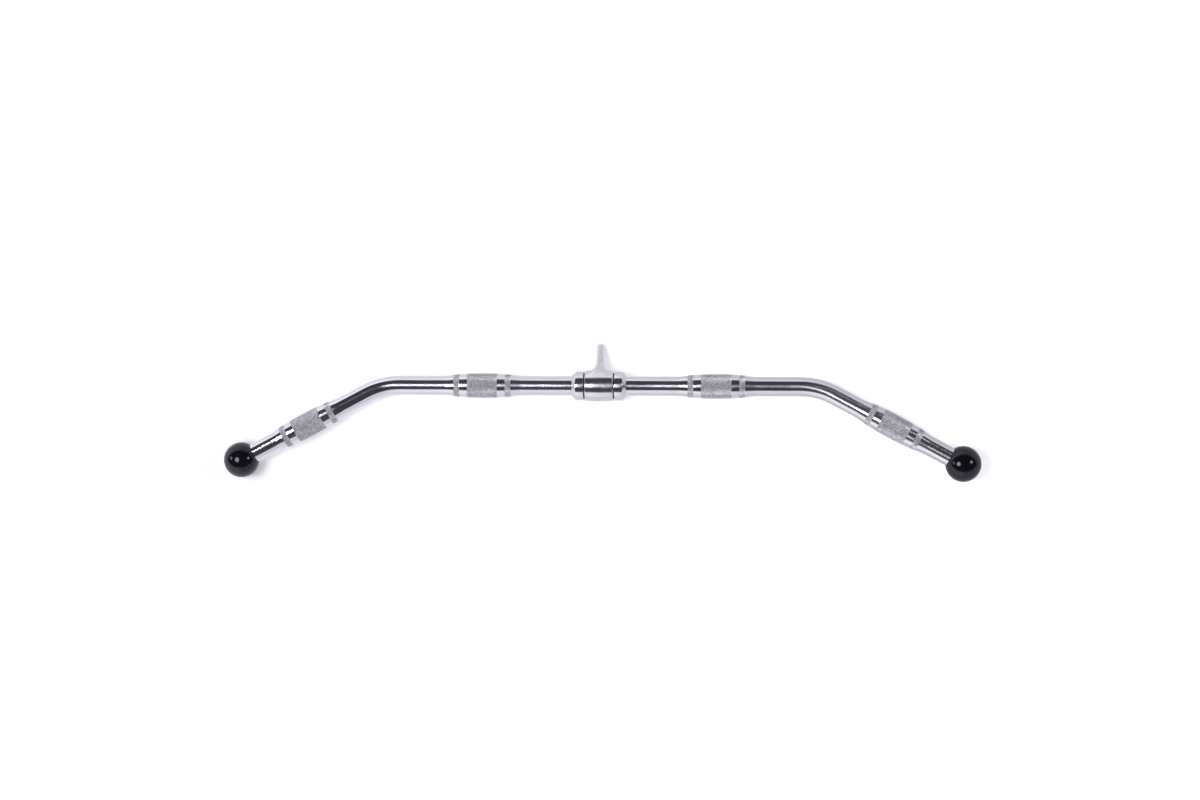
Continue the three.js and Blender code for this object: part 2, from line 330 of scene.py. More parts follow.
def belt_roughness(tree, lines, stops):
    """Roughness along a piece, from a list of (millimetres from its middle, roughness)."""
    start = stops[0][0]
    end = stops[-1][0]
    place = add_node(tree, "SeparateXYZ", {0: lines})
    share = add_node(tree, "MapRange", {"Value": place, "From Min": start * MM, "From Max": end * MM})
    ramp = add_node(tree, "ValToRGB", {"Fac": share})
    marks = ramp.color_ramp.elements
    for at, _ in stops[1:-1]:
        marks.new((at - start) / (end - start))
    for mark, (_, roughness) in zip(marks, stops):
        mark.color = (roughness, roughness, roughness, 1)
    passes = belt_pattern(tree, lines, BELT_PASS, BELT_REACH, 1.0)
    limits = {**NOISE_RANGE, "To Min": 1 - BELT_UNEVEN, "To Max": 1 + BELT_UNEVEN}
    pressed = add_node(tree, "MapRange", {"Value": passes, **limits})
    return add_node(tree, "Math", {0: ramp, 1: pressed}, operation="MULTIPLY")


# %% Polished chrome
CHROME_COLOUR = "#E0DFE4"
BELT_SPREAD = 0.96
BAR_ROUGHNESS = [
    (-490, 0.14), (-432, 0.14), (-424, 0.18), (-352, 0.18), (-345, 0.08), (-286, 0.07), (-272, 0.19),
    (-180, 0.2), (-60, 0.23), (-35, 0.18), (50, 0.17), (85, 0.22), (120, 0.19), (200, 0.175),
    (238, 0.175), (262, 0.21), (300, 0.24), (400, 0.24), (430, 0.19), (490, 0.19),
]
COLLAR_ROUGHNESS = [(-100, 0.19), (100, 0.19)]


def polished_chrome(tree, stops):
    lines = add_node(tree, "UVMap", uv_map=LINES)
    waves = belt_pattern(tree, lines, WAVE_ALONG, WAVE_ROUND, 0.0)
    return {
        "Base Color": linear(CHROME_COLOUR),
        "Metallic": 1.0,
        "Roughness": belt_roughness(tree, lines, stops),
        "Anisotropic": BELT_SPREAD,
        "Normal": add_node(tree, "Bump", {"Height": waves, "Strength": 1.0, "Distance": WAVE_DEPTH}),
        "Tangent": add_node(tree, "Tangent", direction_type="UV_MAP", uv_map=LINES),
    }


bar_chrome = new_material("polished_chrome_plate", polished_chrome, BAR_ROUGHNESS)
collar_chrome = new_material("turned_chrome_plate", polished_chrome, COLLAR_ROUGHNESS)

# %% [markdown]
# ## Knurled chrome
# The knurl is pressed into the steel before it is plated, so it is chrome too, but a thinner and
# duller coat in the grooves. The bar's mesh carries a height from 0 in a groove to 1 on a point. The
# roughness follows it, and so does the colour: darker in the grooves, which is painted shade, and
# pale on the points. The colour also changes in patches a few millimetres wide, where hands have
# rubbed the points lighter or darker.

# %% Knurled chrome
KNURL_HEIGHT = "knurl_height"
KNURL_PATCH = 2.5 * MM


def knurled_chrome(tree):
    height = add_node(tree, "Attribute", attribute_name=KNURL_HEIGHT).outputs["Fac"]
    place = add_node(tree, "TexCoord").outputs["Object"]
    rubbed = add_node(tree, "TexNoise", {"Vector": place, "Scale": 1 / KNURL_PATCH, "Detail": 2.0})
    limits = {**NOISE_RANGE, "To Min": -0.4, "To Max": 0.3}
    patches = add_node(tree, "MapRange", {"Value": rubbed, **limits})
    groove_shade_and_rubbing = add_node(tree, "Math", {0: height, 1: patches}, operation="ADD")
    # The darker colour in the grooves is painted shade; the points keep the chrome's pale colour.
    colours = {"A": linear("#A6A5AC"), "B": linear("#F6F6F8")}
    colour = add_node(tree, "Mix", {"Factor": groove_shade_and_rubbing, **colours}, data_type="RGBA")
    return {
        "Base Color": colour.outputs["Result"],
        "Metallic": 1.0,
        "Roughness": add_node(tree, "MapRange", {"Value": height, "To Min": 0.6, "To Max": 0.45}),
    }


knurl_chrome = new_material("knurled_chrome_plate", knurled_chrome)

# %% [markdown]
# ## Hand-polished casting
# The hanger is cast iron, polished by hand on a wheel and then chromed. The wheel ran round the
# barrel, so its lines spread lamps sideways as on the bar. It leaves soft waves, which are in the
# mesh and bend every reflection, patches of haze, and tiny open pores, which are a bump. Real pores
# are a few tenths of a millimetre apart, too fine to show, so they are drawn 1.6 mm apart.

# %% Cast chrome
PORE = 1.6 * MM
PORE_DEPTH = 0.04 * MM
HAZE_PATCH = 9 * MM
WHEEL_SPREAD = 0.85


def cast_chrome(tree):
    place = add_node(tree, "TexCoord").outputs["Object"]
    pores = add_node(tree, "TexVoronoi", {"Vector": place, "Scale": 1 / PORE})
    pits = add_node(tree, "MapRange", {"Value": pores, "From Min": 0.05, "From Max": 0.16})
    patches = add_node(tree, "TexNoise", {"Vector": place, "Scale": 1 / HAZE_PATCH, "Detail": 4.0})
    limits = {**NOISE_RANGE, "To Min": 0.2, "To Max": 0.26}
    return {
        "Base Color": linear("#DEDDE2"),
        "Metallic": 1.0,
        "Roughness": add_node(tree, "MapRange", {"Value": patches, **limits}),
        "Anisotropic": WHEEL_SPREAD,
        "Normal": add_node(tree, "Bump", {"Height": pits, "Strength": 0.25, "Distance": PORE_DEPTH}),
        "Tangent": add_node(tree, "Tangent", direction_type="UV_MAP", uv_map=LINES),
    }


hanger_chrome = new_material("hand_polished_cast_chrome", cast_chrome)

# %% [markdown]
# ## Sintered bronze
# The bushings are pressed from bronze powder and soaked in oil. The metal is warm brown, darker where
# the oil stands, and dull, because its surface is a sponge of fine grains. Its brown is kept dark,
# partly the oiled metal's own colour and partly painted shade for the narrow gap that the flange sits
# in. Real grains are about 0.1 mm, too fine to show, so they are drawn three times as coarse.

# %% Oiled bronze
BRONZE_GRAIN = 0.3 * MM
GRAIN_DEPTH = 0.05 * MM
OIL_PATCH = 5 * MM


def oiled_bronze(tree):
    place = add_node(tree, "TexCoord").outputs["Object"]
    grains = add_node(tree, "TexNoise", {"Vector": place, "Scale": 1 / BRONZE_GRAIN, "Detail": 2.0})
    oil = add_node(tree, "TexNoise", {"Vector": place, "Scale": 1 / OIL_PATCH, "Detail": 2.0})
    # Both browns are dark: partly the oiled bronze's own colour, partly painted shade for the gap.
    colours = {"A": linear("#3E342B"), "B": linear("#6B5A48")}
    colour = add_node(tree, "Mix", {"Factor": oil, **colours}, data_type="RGBA")
    return {
        "Base Color": colour.outputs["Result"],
        "Metallic": 1.0,
        "Roughness": 0.42,
        "Normal": add_node(tree, "Bump", {"Height": grains, "Strength": 0.3, "Distance": GRAIN_DEPTH}),
    }


bushing_bronze = new_material("oiled_sintered_bronze", oiled_bronze)

# %% [markdown]
# ## Black oxide steel
# Grub screws are hardened steel, blackened in a hot salt bath. The skin is thin, so spots that the
# key has touched shine through as bare steel. A noise stands in for that wear.

# %% Blackened steel
WEAR_PATCH = 1.2 * MM


def blackened_steel(tree):
    place = add_node(tree, "TexCoord").outputs["Object"]
    wear = add_node(tree, "TexNoise", {"Vector": place, "Scale": 1 / WEAR_PATCH, "Detail": 3.0})
    worn = add_node(tree, "MapRange", {"Value": wear, "From Min": 0.55, "From Max": 0.75})
    colours = {"A": linear("#26262A"), "B": linear("#6A6A70")}
    colour = add_node(tree, "Mix", {"Factor": worn, **colours}, data_type="RGBA")
    return {"Base Color": colour.outputs["Result"], "Metallic": 1.0, "Roughness": 0.36}


screw_steel = new_material("black_oxide_steel", blackened_steel)

# %% [markdown]
# ## Moulded black phenolic
# Ball knobs are pressed from phenolic resin in two half moulds and tumbled to a gloss, which leaves
# a fine seam round the ball. The resin's IOR is about 1.5. It is nearly black, and its gloss shows
# lamps as sharp spots, slightly blurred where it has been rubbed. Real scratches are finer than a
# hair and would not show, so they are drawn half a millimetre wide.

# %% Black phenolic
SCUFF = 6 * MM
SCRATCH_WIDTH = 0.5 * MM
SCRATCH_LENGTH = 9 * MM
SCRATCH_DEPTH = 0.03 * MM
SCRATCH_TURN = (0.4, 0.7, 0.9)


def moulded_phenolic(tree):
    place = add_node(tree, "TexCoord").outputs["Object"]
    scuffs = add_node(tree, "TexNoise", {"Vector": place, "Scale": 1 / SCUFF, "Detail": 5.0})
    limits = {"From Min": 0.35, "From Max": 0.75, "To Min": 0.07, "To Max": 0.2}
    scale = (1 / SCRATCH_WIDTH, 1 / SCRATCH_LENGTH, 1 / SCRATCH_LENGTH)
    stretched = add_node(tree, "Mapping", {"Vector": place, "Rotation": SCRATCH_TURN, "Scale": scale})
    scratches = add_node(tree, "TexNoise", {"Vector": stretched, "Scale": 1.0, "Detail": 1.0})
    relief = {"Height": scratches, "Strength": 0.12, "Distance": SCRATCH_DEPTH}
    return {
        "Base Color": linear("#111117"),
        "IOR": 1.5,
        "Specular Tint": linear("#E9E9FF"),
        "Roughness": add_node(tree, "MapRange", {"Value": scuffs, **limits}),
        "Normal": add_node(tree, "Bump", relief),
    }


ball_phenolic = new_material("moulded_black_phenolic", moulded_phenolic)

# %% [markdown]
# ## Dressing a piece
# Every piece gets its finish, the body that it moves with, the part of the record that its finish
# stands for, and the shop's nodes that it covers.

# %% Dress a piece
def dress(piece, body, slot, nodes, *materials):
    for material in materials:
        piece.data.materials.append(material)
    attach(piece, body)
    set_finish(piece, slot)
    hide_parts(*nodes)
    return piece


# %% [markdown]
# ## The bar: its profile
# The maker turns the bar straight, with four swells for the hands, knurls them, and then bends the
# arms. The lesson does the same: a straight profile first, whose rings are close together only
# where something happens, then one function that bends every ring along the centreline. The lengths
# run in order from the collar outwards.

# %% The bar's sizes
BAR_RADIUS = 12.5 * MM
PLAIN_BY_COLLAR = 65.5 * MM
PLAIN_BEFORE_BEND = 56.8 * MM
BEND_RADIUS = 95 * MM
BEND_ANGLE = math.radians(28)
PLAIN_AFTER_BEND = 34.7 * MM
PLAIN_BY_BALL = 30.2 * MM
BALL_GRIP_DEPTH = 30 * MM
END_CHAMFER = 1.5 * MM
CLEARANCE = 0.3 * MM

GRIP_LENGTH = 100 * MM
GRIP_RISE = 3 * MM
WIDE_KNURL = 38.5 * MM
POLISHED_BAND = 10.3 * MM
NARROW_KNURL = 7.2 * MM
GRIP_CROWN_POWER = 3
GRIP_BLEND_POWER = 1.5

bore_radius = BAR_RADIUS + CLEARANCE
grip_half = GRIP_LENGTH / 2
inner_grip = collar_end + PLAIN_BY_COLLAR + grip_half
bend_start = inner_grip + grip_half + PLAIN_BEFORE_BEND
bend_end = bend_start + BEND_RADIUS * BEND_ANGLE
outer_grip = bend_end + PLAIN_AFTER_BEND + grip_half
mouth_place = outer_grip + grip_half + PLAIN_BY_BALL
bar_end = mouth_place + BALL_GRIP_DEPTH
ball_mouth = math.sqrt(ball_radius**2 - bore_radius**2)


# %% The bent centreline
def centreline(distance):
    """Where the bent bar's centreline is at a distance from the middle, and its turn there."""
    turn = np.clip((distance - bend_start) / BEND_RADIUS, 0, BEND_ANGLE)
    straight = np.minimum(distance, bend_start)
    arm = np.maximum(distance - bend_end, 0)
    x = straight + BEND_RADIUS * np.sin(turn) + arm * np.cos(turn)
    y = -BEND_RADIUS * (1 - np.cos(turn)) - arm * np.sin(turn)
    return x, y, turn


end_x, end_y, _ = centreline(mouth_place + ball_mouth)
print(f"ball centre is {abs(end_x - ball_centre.x) / MM:.2f} mm from the frame's along X")
print(f"and {abs(-end_y - ball_drop) / MM:.2f} mm from it across the bar")

# %% [markdown]
# ## The bar: its knurls
# A diamond knurl is two sets of grooves that cross. Its points stand 1.5 mm apart round the bar and
# 1.7 mm apart along it. If the mesh has one vertex for each groove crossing and one for each point, in
# a chequerboard, and every face is split from groove to groove, each diamond becomes a true pyramid
# with the fewest faces. As in metal that was pushed aside, grooves reach a little below the plain
# swell and points a little above it, and no two are exactly alike.

# %% Rings of the bar
BAR_SIDES = 128
KNURL_STEP = 0.85 * MM
BLEND_RINGS = 14
BAND_RINGS = 5
BEND_RINGS = 24
PLAIN = 0
KNURLED = 1


def grip_rise(distance):
    """How far a grip stands above the plain bar at a distance from the grip's middle."""
    share = min(abs(distance) / grip_half, 1)
    return GRIP_RISE * (1 - share**GRIP_CROWN_POWER) ** GRIP_BLEND_POWER


def spread(start, end, steps):
    """Evenly spaced values from start to end, both included."""
    return [start + (end - start) * i / steps for i in range(steps + 1)]


def grip_rings(place):
    """Rings (distance, radius, kind) of one grip, from its inner end to its outer end."""
    knurl_edge = WIDE_KNURL / 2
    narrow_start = knurl_edge + POLISHED_BAND
    narrow_end = narrow_start + NARROW_KNURL
    narrow_steps = round(NARROW_KNURL / KNURL_STEP)
    wide_steps = round(WIDE_KNURL / KNURL_STEP)
    stretches = [
        (-grip_half, -narrow_end, BLEND_RINGS, PLAIN),
        (-narrow_end, -narrow_start, narrow_steps, KNURLED),
        (-narrow_start, -knurl_edge, BAND_RINGS, PLAIN),
        (-knurl_edge, knurl_edge, wide_steps, KNURLED),
        (knurl_edge, narrow_start, BAND_RINGS, PLAIN),
        (narrow_start, narrow_end, narrow_steps, KNURLED),
        (narrow_end, grip_half, BLEND_RINGS, PLAIN),
    ]
    return [
        (place + distance, BAR_RADIUS + grip_rise(distance), kind)
        for start, end, steps, kind in stretches
        for distance in spread(start, end, steps)
    ]


def half_bar_rings():
    """Rings of the bar's right half, from its first grip to its end."""
    bend = [(s, BAR_RADIUS, PLAIN) for s in spread(bend_start, bend_end, BEND_RINGS)]
    end = [(bar_end - END_CHAMFER, BAR_RADIUS, PLAIN), (bar_end, BAR_RADIUS - END_CHAMFER, PLAIN)]
    return [*grip_rings(inner_grip), *bend, *grip_rings(outer_grip), *end]


half_rings = half_bar_rings()
rings = [(-s, r, kind) for s, r, kind in reversed(half_rings)] + half_rings
print(f"{len(rings)} rings, bar {2 * bar_end / MM:.0f} mm long before it is bent")

# %% [markdown]
# ## The bar: its mesh
# The rings become one closed mesh. Arrays make that quick: one row for each ring, one column for
# each side. The knurl's relief is added to each ring's radius, and the same counts give the UV map,
# in metres along and round the bar. The pyramids stay flat-faced, so each one glints on its own.

# %% Points of the bar
KNURL_POINT = 0.3 * MM
KNURL_GROOVE = 0.18 * MM
KNURL_GRAIN = 0.3
KNURL_SEED = 1


def bar_points(along, radius, knurled):
    """Where the bent bar's vertices are, and their height on the knurl, from 0 to 1."""
    side = np.arange(BAR_SIDES)[None, :]
    is_point = (np.arange(len(along))[:, None] + side) % 2 == 1
    grain = np.random.default_rng(KNURL_SEED).uniform(1 - KNURL_GRAIN, 1 + KNURL_GRAIN, is_point.shape)
    relief = np.where(is_point, KNURL_POINT, -KNURL_GROOVE) * grain * knurled
    angle = math.tau * side / BAR_SIDES - math.pi / 2
    across = (radius + relief) * np.cos(angle)
    x, y, turn = centreline(np.abs(along))
    places = [
        np.sign(along) * (x + across * np.sin(turn)),
        y + across * np.cos(turn),
        (radius + relief) * np.sin(angle),
    ]
    return np.stack(places, axis=-1).reshape(-1, 3), (is_point & knurled).astype(np.float32).ravel()


# %% Faces of the bar
def bar_faces(along, knurled):
    """The bar's faces, the UV place of each of their corners, and the kind of each face."""
    faces = []
    uvs = []
    kinds = []
    around = math.tau * BAR_RADIUS / BAR_SIDES
    for m in range(len(along) - 1):
        low = along[m]
        high = along[m + 1]
        here = m * BAR_SIDES
        ahead = here + BAR_SIDES
        for k in range(BAR_SIDES):
            n = (k + 1) % BAR_SIDES
            start = k * around
            end = (k + 1) * around
            corners = [here + k, here + n, ahead + n, ahead + k]
            marks = [(low, start), (low, end), (high, end), (high, start)]
            pieces = [(0, 1, 2, 3)]
            if knurled[m] and knurled[m + 1]:
                pieces = [(0, 1, 2), (0, 2, 3)]
            first = (m + k) % 2 * (len(pieces) - 1)
            for picks in pieces:
                picked = [(first + i) % 4 for i in picks]
                faces.append([corners[i] for i in picked])
                uvs.extend(marks[i] for i in picked)
                kinds.append(KNURLED if knurled[m] or knurled[m + 1] else PLAIN)
    for ring, place in ((0, -bar_end), (len(along) - 1, bar_end)):
        faces.append([ring * BAR_SIDES + k for k in range(BAR_SIDES)])
        uvs.extend((place, k * around) for k in range(BAR_SIDES))
        kinds.append(PLAIN)
    return faces, uvs, kinds


# %% Make the bar
def make_bar():
    along, radius, kind = np.array(rings).T
    knurled = kind == KNURLED
    points, height = bar_points(along[:, None], radius[:, None], knurled[:, None])
    faces, uvs, kinds = bar_faces(along, knurled)
    mesh = bpy.data.meshes.new("bar_polished")
    mesh.from_pydata(points.tolist(), [], faces)
    mesh.transform(to_bar)
    layer = mesh.uv_layers.new(name=LINES)
    layer.data.foreach_set("uv", np.array(uvs, np.float32).ravel())
    mesh.polygons.foreach_set("material_index", np.array(kinds, np.int32))
    attribute = mesh.attributes.new(KNURL_HEIGHT, "FLOAT", "POINT")
    attribute.data.foreach_set("value", height)
    face_outwards(mesh)
    smooth = np.array([p.material_index == PLAIN for p in mesh.polygons])
    mesh.polygons.foreach_set("use_smooth", smooth)
    return linked("bar_polished", mesh)


bar = make_bar()
dress(bar, "bar", "bar_chrome", ["bar"], bar_chrome, knurl_chrome)

# %% [markdown]
# ## The hanger: one casting
# The hanger is a crowned barrel with a flat eye plate that flows into it. Joining two meshes would
# leave a hard line where they meet. A casting is easier to describe as a field, a formula for how far
# a point is from its surface: the smaller of two such distances joins two shapes, and a soft minimum
# joins them with a flowing fillet. The fillet is wide towards the eye and small round the rest of the
# barrel, so that the barrel still just touches the floor. A low bump opposite the eye is what is
# left of the gate, through which the metal was poured.

# %% The hanger's sizes
HUB_END_RADIUS = 19 * MM
HUB_CROWN = 0.75 * MM
EYE_DISTANCE = 34 * MM
EYE_TO_TIP = 17.9 * MM
TIP_RADIUS = 4.7 * MM
PLATE_EDGE_ROUND = 2.35 * MM
PLATE_SWELL = 0.5 * MM
PLATE_ROOT_RADIUS = 19.4 * MM
FLARE_RADIUS = 11.5 * MM
BLEND_BY_EYE = 2.6 * MM
BLEND_ROUND_HUB = 0.6 * MM
BLEND_START = 8 * MM
GATE_MARK = Vector((3.2, 0.8, 2.2)) * MM
tip_distance = EYE_DISTANCE + EYE_TO_TIP
plate_lean = math.asin((PLATE_ROOT_RADIUS - TIP_RADIUS) / tip_distance)
print(f"the eye plate's tip is {(tip_distance + TIP_RADIUS) / MM:.1f} mm from the bar's middle")


# %% The casting's field
def outline_distance(along, across):
    """Distance to the plate's outline: a circle round the bar, one at the tip, and their tangents."""
    side = np.abs(across)
    level = math.cos(plate_lean) * along - math.sin(plate_lean) * side
    root = np.hypot(side, along) - PLATE_ROOT_RADIUS
    tip = np.hypot(side, along - tip_distance) - TIP_RADIUS
    flank = math.cos(plate_lean) * side + math.sin(plate_lean) * along - PLATE_ROOT_RADIUS
    beyond = level > math.cos(plate_lean) * tip_distance
    return np.where(level < 0, root, np.where(beyond, tip, flank))


def soft_minimum(a, b, blend):
    """The smaller of two distances, with a fillet where they are alike."""
    share = np.maximum(blend - np.abs(a - b), 0) / blend
    return np.minimum(a, b) - share**2 * blend / 4


def casting_field(points):
    """How far each point is outside the casting, less where it is inside."""
    x, y, z = points.T
    swell = HUB_CROWN * (1 - (x / hub_half) ** 2)
    barrel = np.hypot(y, z) - HUB_END_RADIUS - swell
    from_tip = np.clip((tip_distance - y) / (tip_distance - HUB_END_RADIUS), 0, 1)
    half = eye_half + PLATE_SWELL * from_tip
    sideways = np.maximum(1 - (np.abs(x) - half) / FLARE_RADIUS, 0)
    outwards = np.maximum(1 - barrel / FLARE_RADIUS, 0)
    face = FLARE_RADIUS * (1 - np.hypot(sideways, outwards)) + PLATE_EDGE_ROUND
    rim = outline_distance(y, z) + PLATE_EDGE_ROUND
    outside = np.hypot(np.maximum(rim, 0), np.maximum(face, 0))
    plate = np.minimum(np.maximum(rim, face), 0) + outside - PLATE_EDGE_ROUND
    by_eye = np.clip((y - BLEND_START) / (HUB_END_RADIUS - BLEND_START), 0, 1)
    joined = soft_minimum(barrel, plate, BLEND_ROUND_HUB + (BLEND_BY_EYE - BLEND_ROUND_HUB) * by_eye)
    mark = points - np.array([0, -HUB_END_RADIUS - HUB_CROWN, 0])
    gate = (np.linalg.norm(mark / np.array(GATE_MARK), axis=1) - 1) * GATE_MARK.y
    return soft_minimum(joined, gate, GATE_MARK.y)


# %% [markdown]
# ## The hanger: its skin
# A field has no faces, so the skin starts as two rough solids that a voxel remesh joins into one
# even mesh. Its vertices then move to the middle of their neighbours, which evens them out, and slide
# down the field's slope onto the true surface, by turns. Last, a soft noise raises and lowers the
# skin by less than a tenth of a millimetre, as the polishing wheel does.

# %% Rough shape
ROUGH_SIDES = 96
TIP_STEPS = 40
VOXEL = 0.55 * MM
TRIM = 3 * MM


def plate_outline():
    """The plate's outline in the YZ plane, from below the bar round the tip to above it."""
    half_turn = math.pi / 2 - plate_lean
    points = [(0.0, -PLATE_ROOT_RADIUS)]
    for angle in spread(-half_turn, half_turn, TIP_STEPS):
        points.append((tip_distance + TIP_RADIUS * math.cos(angle), TIP_RADIUS * math.sin(angle)))
    points.append((0.0, PLATE_ROOT_RADIUS))
    return points


def rough_hanger():
    """Barrel and plate as two plain overlapping solids, remeshed into one skin."""
    reach = hub_half + TRIM
    barrel = [(-reach, 0), (-reach, HUB_END_RADIUS), (reach, HUB_END_RADIUS), (reach, 0)]
    vertices, faces = revolved(barrel, ROUGH_SIDES)
    outline = plate_outline()
    first = len(vertices)
    count = len(outline)
    for x in (-eye_half, eye_half):
        vertices.extend((x, y, z) for y, z in outline)
    faces.append([first + i for i in range(count)])
    faces.append([first + count + i for i in range(count)])
    for i in range(count):
        n = (i + 1) % count
        faces.append([first + i, first + n, first + count + n, first + count + i])
    piece = new_piece("hanger_cast", vertices, faces)
    skin = piece.modifiers.new("skin", "REMESH")
    skin.mode = "VOXEL"
    skin.voxel_size = VOXEL
    return with_modifiers(piece)


# %% Polished skin
SLOPE_STEP = 0.02 * MM
FINAL_SLIDES = 8
RELAX_ROUNDS = 10
RELAX_SLIDES = 2
WAVE_HEIGHT = 0.08 * MM
WAVE_LENGTH = 9 * MM
TINY = 1e-6


def slide_onto_casting(points, slides):
    """Moves points along the field's slope until they lie on its surface."""
    for _ in range(slides):
        value = casting_field(points)
        slope = np.empty_like(points)
        for axis in range(3):
            shift = np.zeros(3)
            shift[axis] = SLOPE_STEP
            change = casting_field(points + shift) - casting_field(points - shift)
            slope[:, axis] = change / (2 * SLOPE_STEP)
        size = np.maximum((slope**2).sum(axis=1), TINY)
        points = points - slope * (value / size)[:, None]
    return points


def relaxed(points, edges):
    """Each point at the middle of its neighbours, and back on the surface."""
    total = np.zeros_like(points)
    degree = np.zeros(len(points))
    np.add.at(total, edges[:, 0], points[edges[:, 1]])
    np.add.at(total, edges[:, 1], points[edges[:, 0]])
    np.add.at(degree, edges.ravel(), 1)
    return slide_onto_casting(total / degree[:, None], RELAX_SLIDES)


def polished_skin():
    piece = rough_hanger()
    mesh = piece.data
    points = vertex_points(mesh)
    edges = np.array([e.vertices[:] for e in mesh.edges])
    for _ in range(RELAX_ROUNDS):
        points = relaxed(points, edges)
    waves = np.array([noise.noise(Vector(point) / WAVE_LENGTH) for point in points]) * WAVE_HEIGHT
    points = slide_onto_casting(points, FINAL_SLIDES)
    outward = points * np.array([0, 1, 1])
    outward /= np.maximum(np.linalg.norm(outward, axis=1), TINY)[:, None]
    points += outward * waves[:, None]
    mesh.vertices.foreach_set("co", points.ravel())
    mesh.update()
    return piece


# %% [markdown]
# ## The hanger: its cuts
# A machine shop bores the barrel, faces its ends and drills the eye, and breaks every edge that the
# cuts leave. Two turned cutters do the same to the skin.

# %% Bore, faces and eye
CUTTER_SIDES = 128
BUSHING_WALL = 2 * MM
HUB_EDGE = 0.7 * MM
EYE_HOLE_RADIUS = 6 * MM
EYE_HOLE_ROUND = 1 * MM
EYE_ROUND_TURN = math.radians(80)
EYE_ROUND_STEPS = 8
hub_bore_radius = bore_radius + BUSHING_WALL + CLEARANCE


def double_cutter(name, half, matrix=Matrix()):
    """A cutter that is its own mirror image, from the right half of its profile."""
    whole = [(-x, r) for x, r in reversed(half)] + half
    return new_piece(name, *revolved(whole, CUTTER_SIDES), matrix)


def bore_cutter():
    """Cuts the bore with chamfered mouths, and trims the barrel's ends with a small edge bevel."""
    far = hub_half + 2 * TRIM
    rim = HUB_END_RADIUS + 2 * TRIM
    inner = HUB_END_RADIUS - HUB_EDGE
    half = [
        (hub_half - HUB_EDGE, hub_bore_radius),
        (hub_half, hub_bore_radius + HUB_EDGE),
        (hub_half, inner),
        (hub_half - TRIM, inner + TRIM),
        (hub_half - TRIM, rim),
        (far, rim),
        (far, 0),
    ]
    return double_cutter("bore_cutter", half)


def eye_cutter():
    """Cuts the eye's hole, with rounded mouths."""
    bottom = eye_half - EYE_HOLE_ROUND
    half = []
    for angle in spread(0, EYE_ROUND_TURN, EYE_ROUND_STEPS):
        x = bottom + EYE_HOLE_ROUND * math.sin(angle)
        half.append((x, EYE_HOLE_RADIUS + EYE_HOLE_ROUND * (1 - math.cos(angle))))
    half.append((eye_half + TRIM, EYE_HOLE_RADIUS + TRIM))
    half.append((eye_half + TRIM, 0))
    return double_cutter("eye_cutter", half, Matrix.Translation((0, EYE_DISTANCE, 0)))


# %% Make the hanger
def make_hanger():
    piece = polished_skin()
    cut(piece, bore_cutter(), eye_cutter())
    lay_lines(piece)
    piece.data.transform(to_hanger)
    piece.data.shade_smooth()
    piece.data.set_sharp_from_angle(angle=SMOOTH_ANGLE)
    print(f"hanger: {len(piece.data.polygons)} faces")
    return dress(piece, "hanger", "hanger_chrome", ["swivel_hanger"], hanger_chrome)


make_hanger()

# %% [markdown]
# ## Bushings
# A flanged sleeve sits in each end of the barrel. Only the rim of its flange shows, as a warm line
# in the gap beside the collar.

# %% Make the bushings
TURNED_SIDES = 96
FLANGE_THICKNESS = 1 * MM
FLANGE_ROUND = 0.25 * MM
SIDES_OF_BAR = {"left": -1, "right": 1}


def facing(side):
    """Turns a piece made for the right side half round on the floor for the left side."""
    return Matrix.Rotation(0 if side > 0 else math.pi, 4, "Z")


def make_bushing(node, side):
    sleeve_radius = bore_radius + BUSHING_WALL
    flange_start = flange_end - FLANGE_THICKNESS
    profile = [
        (sleeve_start, bore_radius),
        (sleeve_start, sleeve_radius),
        (flange_start, sleeve_radius),
        (flange_start, flange_radius),
        (flange_end, flange_radius),
        (flange_end, bore_radius),
        (sleeve_start, bore_radius),
    ]
    turned = revolved(rounded(profile, FLANGE_ROUND), TURNED_SIDES, closed=True)
    piece = new_piece(f"bronze_{node}", *turned, to_hanger @ facing(side))
    return dress(piece, "hanger", "bushing_bronze", [node], bushing_bronze)


for side_name, side in SIDES_OF_BAR.items():
    make_bushing(f"bushing_{side_name}", side)

# %% [markdown]
# ## Collars
# Each collar is a turned ring with a slightly crowned rim, a cone towards the hand and two tapped
# holes on its floor side. Every edge is broken, so thin light lines run round it.

# %% A collar
COLLAR_LENGTH = 10.3 * MM
COLLAR_NOSE_WALL = 1.1 * MM
COLLAR_EDGE = 0.45 * MM
COLLAR_CROWN = 0.2 * MM
CROWN_STEPS = 8
SCREW_RADIUS = 3 * MM
SCREW_SPREAD = math.radians(45)
SCREW_SIDES = 48
screw_place = collar_start + COLLAR_LENGTH / 2


def down(turn):
    """Points a piece made along +X at the floor, turned about the bar, at the collar's middle."""
    towards = Matrix.Rotation(turn, 4, "X") @ Matrix.Rotation(math.pi / 2, 4, "Y")
    return Matrix.Translation((screw_place, 0, 0)) @ towards


def screw_cutter(turn):
    """Cuts a screw's hole from the bar out through the rim, with a chamfered mouth."""
    radius = SCREW_RADIUS + CLEARANCE
    top = collar_radius + TRIM
    profile = [
        (0, 0),
        (0, radius),
        (collar_radius - COLLAR_EDGE, radius),
        (top, radius + top - collar_radius + COLLAR_EDGE),
        (top, 0),
    ]
    return new_piece("screw_cutter", *revolved(profile, SCREW_SIDES), down(turn))


